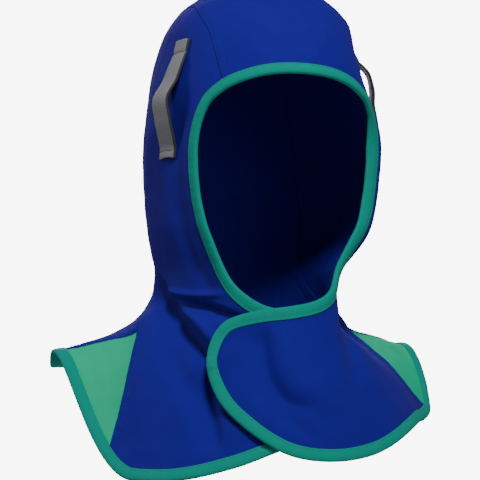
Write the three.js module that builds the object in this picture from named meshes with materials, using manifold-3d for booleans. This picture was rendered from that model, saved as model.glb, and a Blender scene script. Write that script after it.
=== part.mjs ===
// Cloth welding hood as it is worn: head, face opening, neck, and a cape with two shoulder gussets.
// Millimetres. +Z is up, the face looks along -Y, and the wearer's left is +X.
// The origin is the inside of the crown, where the hood sits on the head.
import * as THREE from "three";
import { mergeVertices } from "three/addons/utils/BufferGeometryUtils.js";
import Module from "manifold-3d";

const wasm = await Module();
wasm.setup();

// Sizes of the worn form, measured outside.
const HEAD_WIDTH = 166; // over the ears
const HEAD_DEPTH = 204; // from the forehead to the back of the head
const NECK_HEIGHT = 222; // from the crown down to the neck
const CAPE_WIDTH = 289; // across the hem, shoulder to shoulder
const CAPE_DEPTH = 232; // from the front hem to the back hem
const CAPE_DROP = 143; // from the neck down to the lowest point of the hem
const HEM_LIFT = 26; // how much higher the hem hangs over the wearer's left chest
const FOLD_DEPTH = 10; // a full fold of the cloth
const FOLD_WIDTH = 14; // half the width of a full fold
const EDGE_TURN = 8; // how far the left edge of the face opening rolls inwards

// Sizes of the material.
const CLOTH = 1.6; // thickness of the panels
const TAPE = 0.8; // thickness of the edge binding
const TAPE_WIDTH = 8; // each leg of the folded binding
const STRAP = 2; // thickness of the temple straps
const STRAP_WIDTH = 20;
const STRAP_RISE = 10; // how far a strap stands off the head at its middle

// Clearances.
const SEAM_GAP = 0.3; // between two panels, and under a sewn-down end
const TAPE_FIT = 0.3; // between the cloth and the binding around it
const LAP_SLACK = 0.8; // between the two bindings where the flaps cross
const PAD_FIT = 0.6; // between the fastening and the cloth on each side of it
const LEAST_FIT = 0.12; // the binding and the fastening are cut back to at least this from the cloth

// Where the flaps lap, both bindings pass between the two cloths, and the fastening fills that room.
const LAP_ROOM = 2 * (TAPE + TAPE_FIT) + LAP_SLACK;
const LAP_STEP = CLOTH + LAP_ROOM;
const LAP_START = -38; // degrees round from the front: the over flap lies wholly on top here
const LAP_END = 2; // and has come down to the level of the chest here

const DEGREE = Math.PI / 180;
const HEM_LEVEL = 12;
const LIFT_ANGLE = 52;
const LIFT_SPREAD = 34;
const CORNER_DIP = 0.16; // share of the fall to the back hem that comes right behind the shoulders

// Rings of the outer form, from the apex (level 0) down to the hem (level 12).
// right, left, front, back and middle are shares of the width or depth named by part;
// the three falls are shares of NECK_HEIGHT below the crown, or of CAPE_DROP below the neck.
const RING_COLUMNS = [
  "right",
  "left",
  "front",
  "back",
  "middle",
  "fallFront",
  "fallSide",
  "fallBack",
  "square",
];
const RINGS = [
  ["apex", "head", 0.001, 0.001, 0.001, 0.001, 0, 0, 0, 0, 2],
  ["top", "head", 0.157, 0.157, 0.142, 0.142, 0, 0.014, 0.014, 0.014, 2.05],
  ["crown", "head", 0.277, 0.277, 0.25, 0.26, 0, 0.052, 0.052, 0.052, 2.15],
  ["brow", "head", 0.392, 0.386, 0.358, 0.377, 0, 0.138, 0.138, 0.138, 2.25],
  ["temple", "head", 0.446, 0.428, 0.436, 0.451, 0, 0.25, 0.25, 0.25, 2.3],
  ["eye", "head", 0.485, 0.476, 0.485, 0.49, 0, 0.404, 0.404, 0.404, 2.3],
  ["ear", "head", 0.5, 0.506, 0.505, 0.495, 0.005, 0.602, 0.602, 0.602, 2.3],
  ["jaw", "head", 0.482, 0.482, 0.505, 0.466, 0.034, 0.818, 0.818, 0.818, 2.25],
  ["neck", "head", 0.44, 0.38, 0.466, 0.417, 0.074, 1, 0.98, 0.99, 2.2],
  ["collar", "cape", 0.273, 0.249, 0.414, 0.358, 0.108, 0.222, 0.151, 0.18, 2.05],
  ["shoulder", "cape", 0.35, 0.36, 0.453, 0.401, 0.164, 0.5, 0.277, 0.43, 2],
  ["cape", "cape", 0.426, 0.436, 0.478, 0.457, 0.216, 0.75, 0.336, 0.655, 2.05],
  ["hem", "cape", 0.495, 0.505, 0.496, 0.504, 0.263, 1, 0.375, 0.835, 2.2],
];

// Broad swells of the form: centre and spread in degrees and levels, rise as a share of FOLD_DEPTH.
const SWELLS = [
  { angle: 62, level: 5.5, spreadAngle: 20, spreadLevel: 0.7, rise: 0.4 }, // left edge of the opening
  { angle: 68, level: 4.4, spreadAngle: 22, spreadLevel: 1, rise: -0.8 }, // below the left temple strap
  { angle: 60, level: 8.4, spreadAngle: 24, spreadLevel: 0.7, rise: -1.3 }, // left side of the neck
  { angle: 66, level: 9.3, spreadAngle: 28, spreadLevel: 0.8, rise: -0.95 }, // hollow below the left jaw
  { angle: 90, level: 11.2, spreadAngle: 14, spreadLevel: 1.2, rise: -0.45 }, // top of the left shoulder
  { angle: -62, level: 10.3, spreadAngle: 16, spreadLevel: 0.9, rise: 0.35 }, // chest, beside the long fold
];

// Folds run along a line of stops (angle, level); width is a share of FOLD_WIDTH, depth of FOLD_DEPTH.
const FOLDS = [
  {
    name: "long valley on the right chest",
    stops: [[-106, 8], [-69, 8.95], [-46, 9.6], [-37, 10.3], [-31, 11.2]],
    width: 1,
    depth: -0.9,
  },
  {
    name: "ridge across the right neck",
    stops: [[-86, 8.35], [-63, 8.36], [-44, 8.36]],
    width: 0.5,
    depth: 0.35,
  },
  {
    name: "valley under that ridge",
    stops: [[-80, 8.75], [-56, 8.75], [-38, 8.85]],
    width: 0.55,
    depth: -0.4,
  },
  { name: "dent in the over flap", stops: [[-20, 9.4], [-10, 10.1]], width: 1.1, depth: -0.3 },
  { name: "dent beside the left shoulder", stops: [[35, 9.5], [41, 10.5]], width: 0.8, depth: -0.3 },
  { name: "left flute of the back", stops: [[152, 9], [150, 11.2]], width: 1.5, depth: -0.5 },
  { name: "right flute of the back", stops: [[-154, 9], [-150, 11.2]], width: 1.5, depth: -0.5 },
];

// Seam lines of both sides, row by row from the face opening over the crown to the front hem.
// Rows 0 to 13 join the centre panel, and the rest are the front seam of the gusset.
// round says how much a row of the centre panel follows the ring instead of crossing straight over.
const SEAM_COLUMNS = ["rightAngle", "rightLevel", "leftAngle", "leftLevel", "round"];
const SEAM = [
  [40, 5.03, 40, 5.16, 1],
  [49, 4.05, 49, 4.05, 0.5],
  [55.5, 3.43, 55.5, 3.43, 0],
  [72.5, 2.7, 72.5, 2.7, 0],
  [92, 2.5, 92, 2.5, 0],
  [115, 2.75, 115, 2.75, 0],
  [132, 3.4, 132, 3.4, 0],
  [138, 4.5, 138, 4.5, 0.5],
  [138, 5.6, 138, 5.6, 1],
  [134, 6.6, 134, 6.6, 1],
  [128, 7.5, 128, 7.45, 1],
  [113, 8.4, 112, 8.2, 1],
  [93, 9.1, 94, 8.8, 1],
  [78.5, 9.7, 80, 9.3, 1],
  [74.5, 9.95, 75, 9.5, 1],
  [71.5, 10.2, 70, 9.7, 1],
  [69, 10.45, 66, 9.9, 1],
  [67, 10.7, 63, 10.15, 1],
  [65.5, 10.95, 61, 10.45, 1],
  [64.3, 11.2, 60, 10.8, 1],
  [63.2, 11.5, 60.5, 11.2, 1],
  [62.4, 11.75, 62.5, 11.6, 1],
  [62, 12, 65, 11.92, 1],
];
const APEX_ROW = 13; // the gusset starts here
const LAST_ROW = 22;
const FACE_SAG = -0.36; // the face opening is this much higher at the middle of the forehead

// Back seams of the gussets, from apex to hem corner.
const GUSSET_BACK = {
  right: [[78.5, 9.7], [84, 10.3], [86.5, 11.1], [88.5, 12]],
  left: [[80, 9.3], [84.5, 10.1], [86.5, 11], [87, 12]],
};

// Free edges of the side panels, row by row beside the seam: face opening, flap, then hem.
// Angles beyond the middle of the chest are below zero. turn is a share of EDGE_TURN.
const EDGE_COLUMNS = ["rightAngle", "rightLevel", "rightTurn", "leftAngle", "leftLevel", "leftTurn"];
const EDGE = [
  [40, 5.03, 0, 40, 5.16, 0],
  [47, 5.2, 0, 45, 5.34, 0.2],
  [50.5, 5.36, 0, 47.5, 5.47, 0.5],
  [53, 5.54, 0, 49.5, 5.62, 0.8],
  [54.8, 5.76, 0, 50.8, 5.84, 1],
  [55.6, 6.05, 0, 51.3, 6.1, 1],
  [55.3, 6.37, 0, 51, 6.38, 1],
  [54.2, 6.68, 0, 49.5, 6.66, 1],
  [52, 7, 0, 46.5, 6.98, 0.9],
  [48.5, 7.38, 0, 42, 7.36, 0.75],
  [43, 7.85, 0, 35.5, 7.8, 0.5],
  [34.5, 8.32, 0, 24, 8.26, 0.2],
  [22, 8.7, 0, 9.5, 8.56, 0],
  [5, 8.84, 0, -7, 8.73, 0],
  [-10, 9.02, 0, -24, 8.84, 0],
  [-20, 9.4, 0, -38, 9.08, 0],
  [-22, 9.95, 0, -41.5, 9.6, 0],
  [-17, 10.6, 0, -36, 10.2, 0],
  [-7, 11.12, 0, -25, 10.85, 0],
  [9, 11.4, 0, -5, 11.58, 0],
  [24, 11.76, 0, 17, 11.78, 0],
  [40, 12, 0, 51, 11.62, 0],
  [62, 12, 0, 65, 11.92, 0],
];
const TAPE_JOIN = 16.6; // row of the over flap's edge where the binding's two ends meet

// Temple straps: the line of the strap's middle, and the rise of each strap off the cloth
// as a share of STRAP_RISE. The left one stands further off along its rear edge.
const STRAP_LINE = [
  { angle: 72.6, level: 3.77, right: 0, left: 0 },
  { angle: 73, level: 4.12, right: 0, left: 0.3 },
  { angle: 72.6, level: 4.42, right: 0.22, left: 1 },
  { angle: 73.3, level: 4.75, right: 0.4, left: 0.98 },
  { angle: 74.5, level: 5.1, right: 0.95, left: 0.38 },
  { angle: 75, level: 5.45, right: 0.7, left: 0.05 },
  { angle: 76, level: 5.7, right: 0.3, left: 0 },
  { angle: 77.2, level: 5.87, right: 0, left: 0 },
  { angle: 77.5, level: 6.03, right: 0, left: 0 },
];
const STRAP_LEAN = { right: 0, left: 0.3 };

// The fastening between the flaps, in degrees and levels.
const CLOSURE = { fromAngle: -20, toAngle: 8, fromLevel: 9.45, toLevel: 10.55 };

const HEAD_ROWS = 16;
const CAPE_ROWS = 20;
const SIDE_COLUMNS = 12;
const CENTER_COLUMNS = 16;
const GUSSET_COLUMNS = 4;

const CLOTH_BLUE = { color: 0x14307e, roughness: 0.85, metalness: 0 };
const GUSSET_GREEN = { color: 0x2fa882, roughness: 0.85, metalness: 0 };
const TAPE_GREEN = { color: 0x22a184, roughness: 0.7, metalness: 0 };
const STRAP_GREY = { color: 0x6b6c70, roughness: 0.6, metalness: 0 };
const PAD_GREY = { color: 0x2a2c33, roughness: 0.9, metalness: 0 };

// Smooth curve through a column of numbers. An even column meets the axis level, as a dome does.
function along(column, place, even = false) {
  const last = column.length - 1;
  const i = Math.min(Math.max(Math.floor(place), 0), last - 1);
  const f = place - i;
  const p1 = column[i];
  const p2 = column[i + 1];
  const p0 = i > 0 ? column[i - 1] : even ? p2 : 2 * p1 - p2;
  const p3 = i < last - 1 ? column[i + 2] : 2 * p2 - p1;
  const bend = (2 * p0 - 5 * p1 + 4 * p2 - p3) * f * f + (3 * p1 - p0 - 3 * p2 + p3) * f * f * f;
  return 0.5 * (2 * p1 + (p2 - p0) * f + bend);
}

function ease(x) {
  const t = Math.min(Math.max(x, 0), 1);
  return t * t * (3 - 2 * t);
}

function mix(a, b, share) {
  return a + (b - a) * share;
}

function degreesBetween(a, b) {
  return ((((a - b + 180) % 360) + 360) % 360) - 180;
}

// A table's rows as one array for each named column.
function columns(names, rows, skip = 0) {
  return Object.fromEntries(names.map((name, i) => [name, rows.map((row) => row[i + skip])]));
}

// The rings at real size.
const ringRows = RINGS.map(([, part, right, left, front, back, middle, ...rest]) => {
  const [fallFront, fallSide, fallBack, square] = rest;
  const head = part === "head";
  const width = head ? HEAD_WIDTH : CAPE_WIDTH;
  const depth = head ? HEAD_DEPTH : CAPE_DEPTH;
  const above = head ? 0 : NECK_HEIGHT;
  const drop = head ? NECK_HEIGHT : CAPE_DROP;
  return [
    right * width,
    left * width,
    front * depth,
    back * depth,
    middle * depth,
    CLOTH - above - fallFront * drop,
    CLOTH - above - fallSide * drop,
    CLOTH - above - fallBack * drop,
    square,
  ];
});
const ring = columns(RING_COLUMNS, ringRows);
const seam = columns(SEAM_COLUMNS, SEAM);
const edge = columns(EDGE_COLUMNS, EDGE);

// A point of the plain form. angle is 0 at the front and 90 at the wearer's left.
function formPoint(angle, level) {
  const c = Math.cos(angle * DEGREE);
  const s = Math.sin(angle * DEGREE);
  const power = 2 / along(ring.square, level);
  const middle = along(ring.middle, level);
  const side = along(s > 0 ? ring.left : ring.right, level);
  const reach = c > 0 ? along(ring.front, level) + middle : along(ring.back, level) - middle;
  const x = side * Math.sign(s) * Math.abs(s) ** power;
  const y = middle - reach * Math.sign(c) * Math.abs(c) ** power;
  const zSide = along(ring.fallSide, level, true);
  const zEnd = along(c > 0 ? ring.fallFront : ring.fallBack, level, true);
  // Behind the shoulders the hem dips a little at once, and falls the rest of the way further back.
  const behind = CORNER_DIP * ease(-c / 0.16) + (1 - CORNER_DIP) * ease((-c - 0.5) / 0.4);
  const towards = c > 0 ? ease(c / 0.62) : behind;
  const turned = degreesBetween(angle, LIFT_ANGLE) / LIFT_SPREAD;
  const lift = HEM_LIFT * ease((level - 8.5) / (HEM_LEVEL - 8.5)) * Math.exp(-turned * turned);
  return new THREE.Vector3(x, y, mix(zSide, zEnd, towards) + lift);
}

// The form unrolled flat about its apex, so that a step across the crown is as plain as any other.
function toChart(angle, level) {
  return [level * Math.sin(angle * DEGREE), -level * Math.cos(angle * DEGREE)];
}

function fromChart(across, back) {
  return { angle: Math.atan2(across, -back) / DEGREE, level: Math.hypot(across, back) };
}

function chartPoint(across, back) {
  const { angle, level } = fromChart(across, back);
  return formPoint(angle, level);
}

// Tangents and outward normal of the form.
function frameAt(angle, level) {
  const [across, back] = toChart(angle, level);
  const step = 0.02;
  const alongAcross = chartPoint(across + step, back).sub(chartPoint(across - step, back));
  alongAcross.divideScalar(2 * step);
  const alongBack = chartPoint(across, back + step).sub(chartPoint(across, back - step));
  alongBack.divideScalar(2 * step);
  const normal = alongAcross.clone().cross(alongBack).normalize();
  return { across, back, alongAcross, alongBack, normal };
}

// The place reached by walking a distance over the form in a direction.
function walk(angle, level, direction, distance) {
  const { across, back, alongAcross, alongBack } = frameAt(angle, level);
  const aa = alongAcross.dot(alongAcross);
  const ab = alongAcross.dot(alongBack);
  const bb = alongBack.dot(alongBack);
  const da = alongAcross.dot(direction);
  const db = alongBack.dot(direction);
  const scale = distance / (aa * bb - ab * ab);
  return fromChart(across + (da * bb - db * ab) * scale, back + (db * aa - da * ab) * scale);
}

function swellRise(angle, level) {
  return SWELLS.reduce((sum, swell) => {
    const a = degreesBetween(angle, swell.angle) / swell.spreadAngle;
    const l = (level - swell.level) / swell.spreadLevel;
    return sum + swell.rise * FOLD_DEPTH * Math.exp(-a * a - l * l);
  }, 0);
}

// Depth of the folds at a place: each fold is soft across its line and dies away past its ends.
const MM_PER_DEGREE = (HEAD_WIDTH / 2) * DEGREE;
const MM_PER_LEVEL = (NECK_HEIGHT + CAPE_DROP) / HEM_LEVEL;

function foldRise(angle, level) {
  let total = 0;
  for (const fold of FOLDS) {
    let nearest = Infinity;
    for (let i = 1; i < fold.stops.length; i++) {
      const [a0, l0] = fold.stops[i - 1];
      const [a1, l1] = fold.stops[i];
      const px = degreesBetween(angle, a0) * MM_PER_DEGREE;
      const py = (level - l0) * MM_PER_LEVEL;
      const dx = degreesBetween(a1, a0) * MM_PER_DEGREE;
      const dy = (l1 - l0) * MM_PER_LEVEL;
      const share = Math.min(Math.max((px * dx + py * dy) / (dx * dx + dy * dy), 0), 1);
      nearest = Math.min(nearest, Math.hypot(px - share * dx, py - share * dy));
    }
    const off = nearest / (fold.width * FOLD_WIDTH);
    total += fold.depth * FOLD_DEPTH * Math.exp(-off * off);
  }
  return total;
}

// How far a side panel lies off the form where the flaps lap.
function lapRise(side, angle) {
  const over = LAP_STEP * ease((LAP_END - angle) / (LAP_END - LAP_START));
  return side === "left" ? over : over - LAP_STEP;
}

// How far the free edge rolls inwards, at a distance from it.
function turnRise(turn, distance) {
  return -EDGE_TURN * turn * Math.max(1 - distance / (2 * TAPE_WIDTH), 0) ** 2;
}

const sign = { right: -1, left: 1 };

function seamPlace(side, row) {
  return { angle: sign[side] * along(seam[side + "Angle"], row), level: along(seam[side + "Level"], row) };
}

function gussetBackPlace(side, row) {
  const keys = GUSSET_BACK[side];
  const place = ((row - APEX_ROW) / (LAST_ROW - APEX_ROW)) * (keys.length - 1);
  const angle = along(keys.map((key) => key[0]), place);
  const level = along(keys.map((key) => key[1]), place);
  return { angle: sign[side] * angle, level };
}

function backSeamPlace(side, row) {
  return row < APEX_ROW ? seamPlace(side, row) : gussetBackPlace(side, row);
}

function edgePlace(side, row) {
  return {
    angle: sign[side] * along(edge[side + "Angle"], row),
    level: along(edge[side + "Level"], row),
    turn: along(edge[side + "Turn"], row),
  };
}

function pointAt({ angle, level }) {
  return formPoint(angle, level);
}

// The rows of every panel. Three lie close to the forehead's edge and three to the hem,
// one leg of the binding apart, and a side panel's rows start between them.
function seamSpan(row) {
  return pointAt(seamPlace("right", row)).distanceTo(pointAt(seamPlace("right", row + 1)));
}

const EDGE_ROWS = 3;
const FIRST_START = (EDGE_ROWS * TAPE_WIDTH) / seamSpan(0);
const LAST_START = LAST_ROW - (EDGE_ROWS * TAPE_WIDTH) / seamSpan(LAST_ROW - 1);

function evenly(from, to, count) {
  return Array.from({ length: count + 1 }, (_, i) => mix(from, to, i / count));
}

const SIDE_ROWS = [
  ...evenly(FIRST_START, APEX_ROW, HEAD_ROWS),
  ...evenly(APEX_ROW, LAST_START, CAPE_ROWS).slice(1),
];
const ROWS = [
  ...evenly(0, FIRST_START, EDGE_ROWS).slice(0, -1),
  ...SIDE_ROWS,
  ...evenly(LAST_START, LAST_ROW, EDGE_ROWS).slice(1),
];

// The row of the free edge where a side panel's row that starts at a seam row ends.
function edgeRow(row) {
  return (LAST_ROW * (row - FIRST_START)) / (LAST_START - FIRST_START);
}

// Shares of a row from seam to seam, closer together near its ends, with half a seam gap left at each.
function seamToSeam(length, count) {
  const crowding = 0.5;
  return Array.from({ length: count + 1 }, (_, i) => {
    const even = i / count;
    const share = even - (crowding * Math.sin(2 * Math.PI * even)) / (2 * Math.PI);
    return mix(SEAM_GAP / 2 / length, 1 - SEAM_GAP / 2 / length, share);
  });
}

function rowLength(placeAt) {
  let length = 0;
  let before = pointAt(placeAt(0));
  for (let i = 1; i <= 12; i++) {
    const now = pointAt(placeAt(i / 12));
    length += now.distanceTo(before);
    before = now;
  }
  return length;
}

// A place on a row of the centre panel, from its right seam (share 0) to its left seam (share 1).
function centerPlace(row, share) {
  const right = backSeamPlace("right", row);
  const left = backSeamPlace("left", row);
  const front = row < APEX_ROW / 3;
  const leftAngle = front ? left.angle : left.angle - 360;
  const sag = Math.max(1 - row, 0) * FACE_SAG * 4 * share * (1 - share);
  const ringPlace = toChart(mix(right.angle, leftAngle, share), mix(right.level, left.level, share) + sag);
  const from = toChart(right.angle, right.level);
  const to = toChart(left.angle, left.level);
  const round = Math.min(Math.max(along(seam.round, row), 0), 1);
  return fromChart(
    mix(mix(from[0], to[0], share), ringPlace[0], round),
    mix(mix(from[1], to[1], share), ringPlace[1], round),
  );
}

// A place on a row of a gusset, from its front seam to its back seam.
function gussetPlace(side, row, share) {
  const from = seamPlace(side, row);
  const to = gussetBackPlace(side, row);
  return { angle: mix(from.angle, to.angle, share), level: mix(from.level, to.level, share) };
}

// The free edges of each sheet of cloth as lines of points, each with its share of the inward roll.
function edgeLine(placeAt, from, to, steps) {
  return Array.from({ length: steps + 1 }, (_, i) => {
    const place = placeAt(mix(from, to, i / steps));
    return { point: pointAt(place), turn: place.turn ?? 0 };
  });
}

const hemLine = [
  ...edgeLine((share) => gussetPlace("right", LAST_ROW, share), 0, 1, 12),
  ...edgeLine((share) => centerPlace(LAST_ROW, share), 0, 1, 60),
  ...edgeLine((share) => gussetPlace("left", LAST_ROW, share), 0, 1, 12),
];
const FREE_EDGES = {
  right: edgeLine((row) => edgePlace("right", row), 0, LAST_ROW, 150),
  left: edgeLine((row) => edgePlace("left", row), 0, LAST_ROW, 150),
  middle: [...edgeLine((share) => centerPlace(0, share), 0, 1, 24), ...hemLine],
};

// The nearest stop of a sheet's free edge, and the distance to it.
function toFreeEdge(sheet, point) {
  let distance = Infinity;
  let turn = 0;
  for (const stop of FREE_EDGES[sheet]) {
    const squared = stop.point.distanceToSquared(point);
    if (squared < distance) {
      distance = squared;
      turn = stop.turn;
    }
  }
  return { distance: Math.sqrt(distance), turn };
}

// How far a sheet of cloth lies off the plain form at a place.
function clothRise(sheet, place) {
  const { distance, turn } = toFreeEdge(sheet, pointAt(place));
  const free = ease((distance - TAPE_WIDTH) / (2 * TAPE_WIDTH));
  const lap = sheet === "middle" ? 0 : lapRise(sheet, place.angle);
  const swell = swellRise(place.angle, place.level);
  return swell + foldRise(place.angle, place.level) * free + lap + turnRise(turn, distance);
}

function samples(sheet, placeAt, list) {
  return list.map((share) => ({ ...placeAt(share), rise: clothRise(sheet, placeAt(share)) }));
}

// Square to the free edge of a side panel and into its cloth.
function inwardsFrom(side, row) {
  const step = 0.05;
  const before = pointAt(edgePlace(side, row - step));
  const after = pointAt(edgePlace(side, row + step));
  const { angle, level } = edgePlace(side, row);
  const { normal } = frameAt(angle, level);
  return after.sub(before).cross(normal).multiplyScalar(-sign[side]).normalize();
}

function walkInwards(place, inwards, distance) {
  const halfway = walk(place.angle, place.level, inwards, distance / 2);
  return walk(halfway.angle, halfway.level, inwards, distance / 2);
}

// A side panel's row starts at the seam and ends square to the free edge, over two binding widths.
function sideRow(side, row) {
  const end = edgePlace(side, edgeRow(row));
  const inwards = inwardsFrom(side, edgeRow(row));
  const outer = walkInwards(end, inwards, TAPE_WIDTH);
  const inner = walkInwards(end, inwards, 2 * TAPE_WIDTH);
  const start = seamPlace(side, row);
  const between = (share) => ({
    angle: mix(start.angle, inner.angle, share),
    level: mix(start.level, inner.level, share),
  });
  const gap = SEAM_GAP / 2 / rowLength(between);
  return [...evenly(gap, 1, SIDE_COLUMNS - 2).map(between), outer, end];
}

// The first and last rows of a side panel lie along its seams, half a gap from them.
function rowAlongSeam(side, rows, neighbour) {
  const inner = evenly(rows[0], rows[1], SIDE_COLUMNS - 2);
  return [...inner, rows[2], rows[3]].map((row, i) => {
    const place = seamPlace(side, row);
    const towards = pointAt(neighbour[i]).sub(pointAt(place)).normalize();
    return walk(place.angle, place.level, towards, SEAM_GAP / 2);
  });
}

function sidePanelGrid(side) {
  const rows = SIDE_ROWS.map((row) => sideRow(side, row));
  const last = rows.length - 1;
  rows[0] = rowAlongSeam(side, evenly(FIRST_START, 0, EDGE_ROWS), rows[1]);
  rows[last] = rowAlongSeam(side, evenly(LAST_START, LAST_ROW, EDGE_ROWS), rows[last - 1]);
  return rows.map((row) => row.map((place) => ({ ...place, rise: clothRise(side, place) })));
}

function centerPanelGrid() {
  return ROWS.map((row) => {
    const placeAt = (share) => centerPlace(row, share);
    return samples("middle", placeAt, seamToSeam(rowLength(placeAt), CENTER_COLUMNS));
  });
}

function gussetGrid(side) {
  const rows = [APEX_ROW + 0.25, ...ROWS.filter((row) => row > APEX_ROW + 0.3)];
  return rows.map((row) => {
    const placeAt = (share) => gussetPlace(side, row, share);
    return samples("middle", placeAt, seamToSeam(rowLength(placeAt), GUSSET_COLUMNS));
  });
}

// A closed mesh of the triangles, turned to face outwards.
function closedMesh(name, points, triangles, look) {
  let volume = 0;
  for (const [a, b, c] of triangles) {
    volume += points[a].dot(points[b].clone().cross(points[c]));
  }
  const order = volume > 0 ? [0, 1, 2] : [0, 2, 1];
  const geometry = new THREE.BufferGeometry();
  const positions = points.flatMap((p) => [p.x, p.y, p.z]);
  geometry.setAttribute("position", new THREE.Float32BufferAttribute(positions, 3));
  geometry.setIndex(triangles.flatMap((t) => order.map((i) => t[i])));
  geometry.computeVertexNormals();
  const mesh = new THREE.Mesh(geometry, new THREE.MeshStandardMaterial(look));
  mesh.name = name;
  return mesh;
}

function asSolid(mesh) {
  const bare = new THREE.BufferGeometry();
  bare.setAttribute("position", mesh.geometry.getAttribute("position"));
  bare.setIndex(mesh.geometry.getIndex());
  const merged = mergeVertices(bare, 1e-4);
  return new wasm.Manifold(
    new wasm.Mesh({
      numProp: 3,
      vertProperties: merged.getAttribute("position").array,
      triVerts: new Uint32Array(merged.getIndex().array),
    }),
  );
}

// The mesh with room cut out of it for the cloth. Loose slivers that the cut leaves are dropped.
function cleared(mesh, cloth) {
  const cut = cloth.reduce((solid, panel) => solid.subtract(panel), asSolid(mesh));
  const [whole] = cut.decompose().sort((a, b) => b.volume() - a.volume());
  const { vertProperties, triVerts, numProp } = whole.getMesh();
  const positions = new Float32Array((vertProperties.length / numProp) * 3);
  for (let i = 0; i < positions.length / 3; i++) {
    positions.set(vertProperties.subarray(i * numProp, i * numProp + 3), i * 3);
  }
  const geometry = new THREE.BufferGeometry();
  geometry.setAttribute("position", new THREE.BufferAttribute(positions, 3));
  geometry.setIndex(new THREE.BufferAttribute(triVerts, 1));
  geometry.computeVertexNormals();
  mesh.geometry = geometry;
  return mesh;
}

// A wall of even thickness: its outer face passes through the samples, its inner face lies below them.
function wall(name, grid, thickness, look) {
  const rows = grid.length;
  const count = grid[0].length;
  const points = [];
  for (const depth of [0, thickness]) {
    for (const samples of grid) {
      for (const { angle, level, rise } of samples) {
        const { normal } = frameAt(angle, level);
        points.push(formPoint(angle, level).addScaledVector(normal, rise - depth));
      }
    }
  }
  const outer = (r, c) => r * count + c;
  const inner = (r, c) => rows * count + r * count + c;
  const triangles = [];
  const quad = (a, b, c, d) => triangles.push([a, b, c], [a, c, d]);
  // Each quad is split along its shorter diagonal, but along the edges as the binding is.
  const shorter = (r, c) => {
    const first = points[outer(r, c)].distanceTo(points[outer(r + 1, c + 1)]);
    return first <= points[outer(r + 1, c)].distanceTo(points[outer(r, c + 1)]);
  };
  for (let r = 0; r < rows - 1; r++) {
    for (let c = 0; c < count - 1; c++) {
      const border = r === 0 || r === rows - 2 || c === 0 || c === count - 2;
      if (border || shorter(r, c)) {
        quad(outer(r, c), outer(r + 1, c), outer(r + 1, c + 1), outer(r, c + 1));
        quad(inner(r, c), inner(r, c + 1), inner(r + 1, c + 1), inner(r + 1, c));
      } else {
        quad(outer(r + 1, c), outer(r + 1, c + 1), outer(r, c + 1), outer(r, c));
        quad(inner(r, c + 1), inner(r + 1, c + 1), inner(r + 1, c), inner(r, c));
      }
    }
    quad(outer(r, 0), inner(r, 0), inner(r + 1, 0), outer(r + 1, 0));
    quad(outer(r, count - 1), outer(r + 1, count - 1), inner(r + 1, count - 1), inner(r, count - 1));
  }
  for (let c = 0; c < count - 1; c++) {
    quad(outer(0, c), outer(0, c + 1), inner(0, c + 1), inner(0, c));
    quad(outer(rows - 1, c), inner(rows - 1, c), inner(rows - 1, c + 1), outer(rows - 1, c + 1));
  }
  return closedMesh(name, points, triangles, look);
}

// The whole free edge as one line of stations, from one end of the tape to the other.
// reversed marks the stretches that run against the rows or columns of their cloth.
function tapeStations() {
  const onSide = (side) => (row) => ({ ...edgePlace(side, row), sheet: side, reversed: side === "left" });
  const onMiddle = (placeAt, count, reversed) => {
    const shares = seamToSeam(rowLength(placeAt), count);
    return shares.map((share) => ({ ...placeAt(share), sheet: "middle", reversed }));
  };
  const aboveJoin = pointAt(edgePlace("left", TAPE_JOIN - 0.5));
  const belowJoin = pointAt(edgePlace("left", TAPE_JOIN + 0.5));
  const half = SEAM_GAP / 2 / aboveJoin.distanceTo(belowJoin);
  const rows = SIDE_ROWS.map(edgeRow);
  const list = [
    ...[TAPE_JOIN - half, ...rows.filter((row) => row < TAPE_JOIN - half).reverse()].map(onSide("left")),
    ...onMiddle((share) => centerPlace(0, 1 - share), CENTER_COLUMNS, false),
    ...rows.map(onSide("right")),
    ...onMiddle((share) => gussetPlace("right", LAST_ROW, share), GUSSET_COLUMNS, false),
    ...onMiddle((share) => centerPlace(LAST_ROW, share), CENTER_COLUMNS, false),
    ...onMiddle((share) => gussetPlace("left", LAST_ROW, 1 - share), GUSSET_COLUMNS, true),
    ...[...rows.filter((row) => row > TAPE_JOIN + half).reverse(), TAPE_JOIN + half].map(onSide("left")),
  ];
  // Stations closer than the tape is thick are one.
  return list.filter((station, i) => i === 0 || pointAt(station).distanceTo(pointAt(list[i - 1])) > TAPE);
}

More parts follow.
